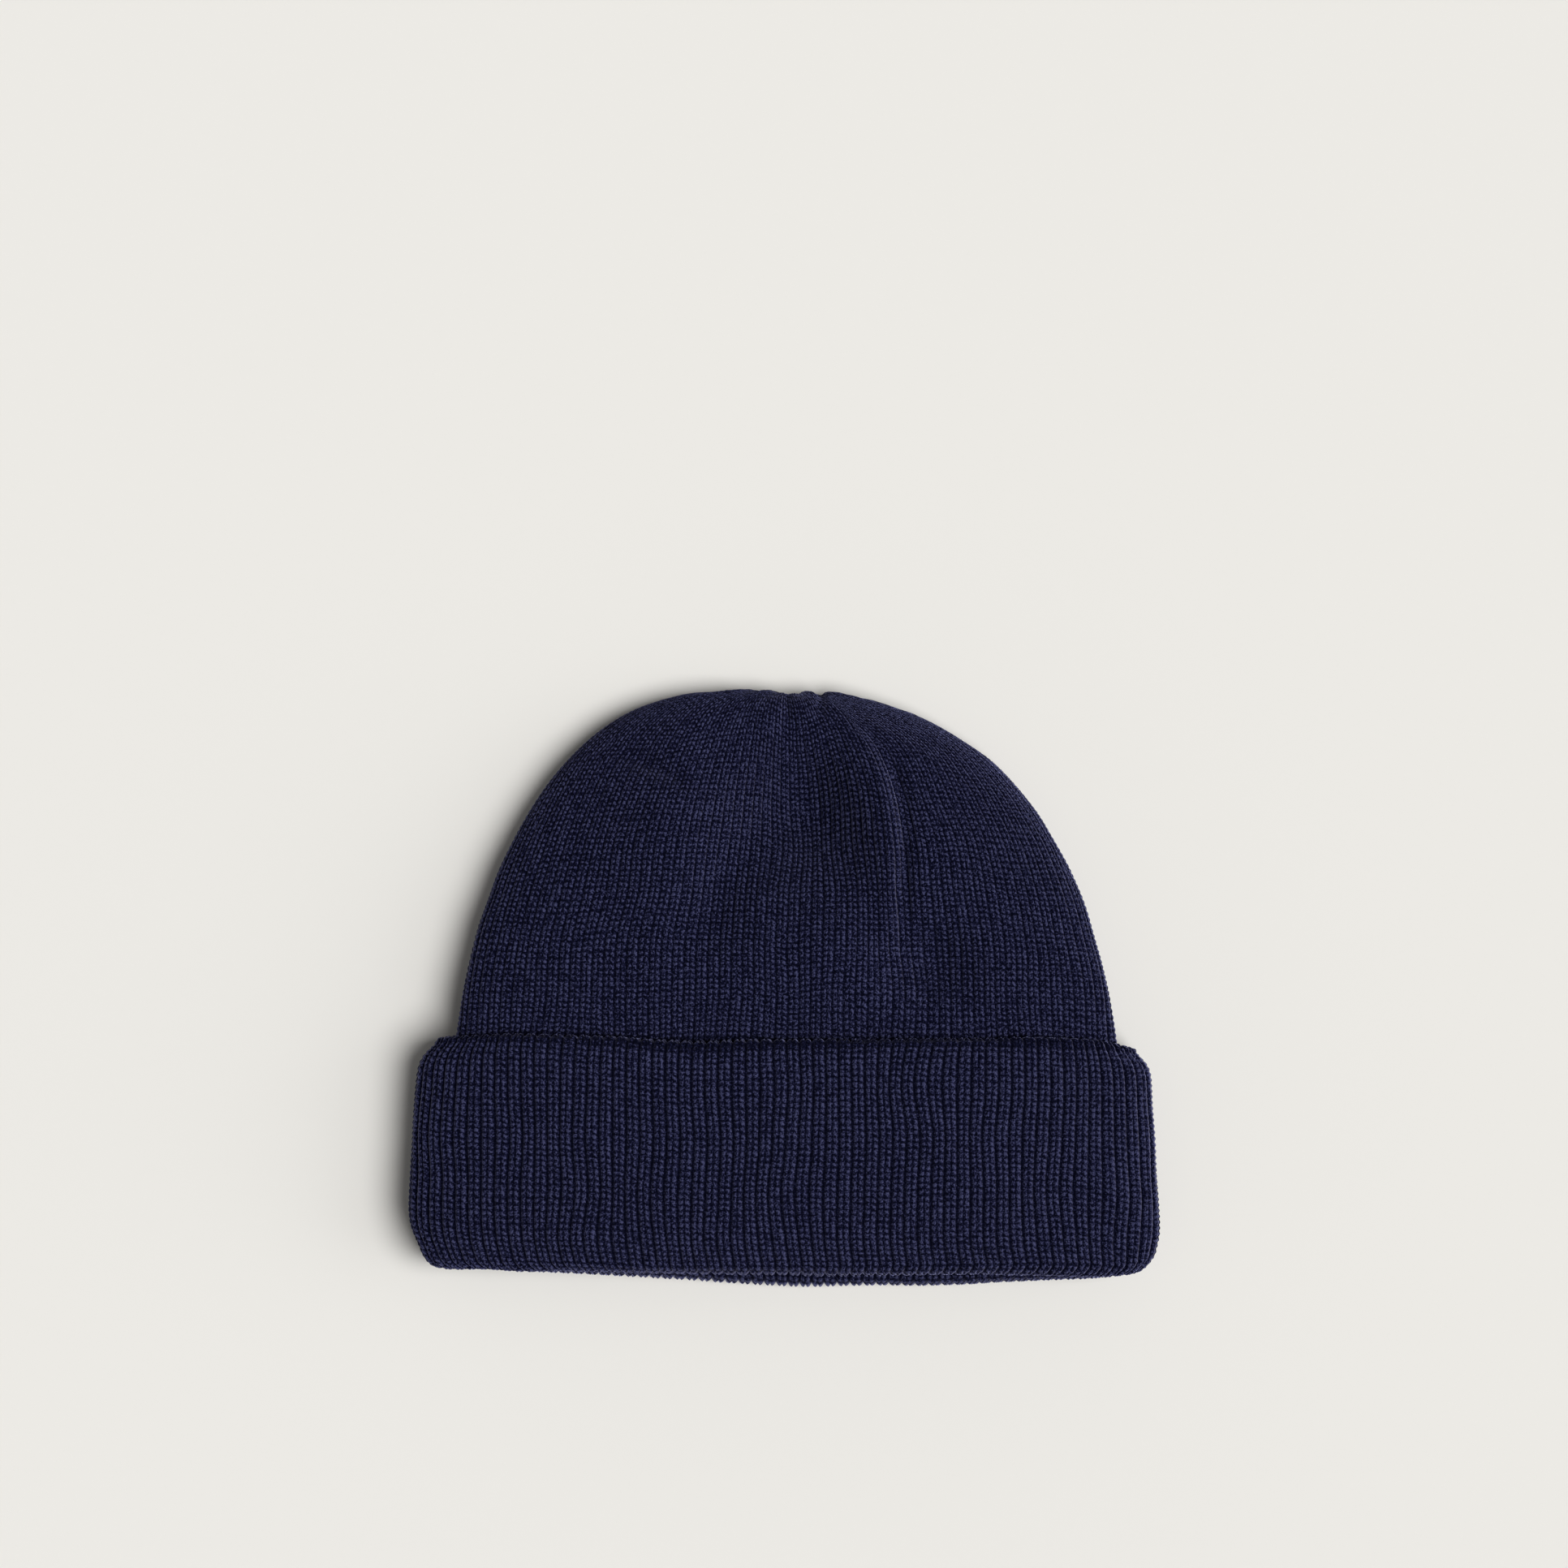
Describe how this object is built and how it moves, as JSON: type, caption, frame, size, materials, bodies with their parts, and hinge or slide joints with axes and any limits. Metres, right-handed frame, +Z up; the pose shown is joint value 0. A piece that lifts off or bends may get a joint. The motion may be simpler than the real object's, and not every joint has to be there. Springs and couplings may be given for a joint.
{
  "type": "watch cap",
  "caption": "Knitted watch cap in dark navy rib, lying flat on its back: rounded crown gathered at the top, deep turned-up cuff round an open mouth.",
  "frame": {"origin": "on the surface that the cap lies on, under the middle of its outline", "axes": "+X to the right across the cuff, +Y from the mouth towards the gathered top, +Z up through the flattened cap; right-handed"},
  "size_m": [0.2298, 0.1835, 0.0275],
  "materials": {
    "crown_knit": "dark navy rib knit, matt",
    "cuff_knit": "dark navy deep rib knit, matt"
  },
  "bodies": {
    "root": {"crown": "crown_knit", "cuff": "cuff_knit"}
  },
  "joints": []
}
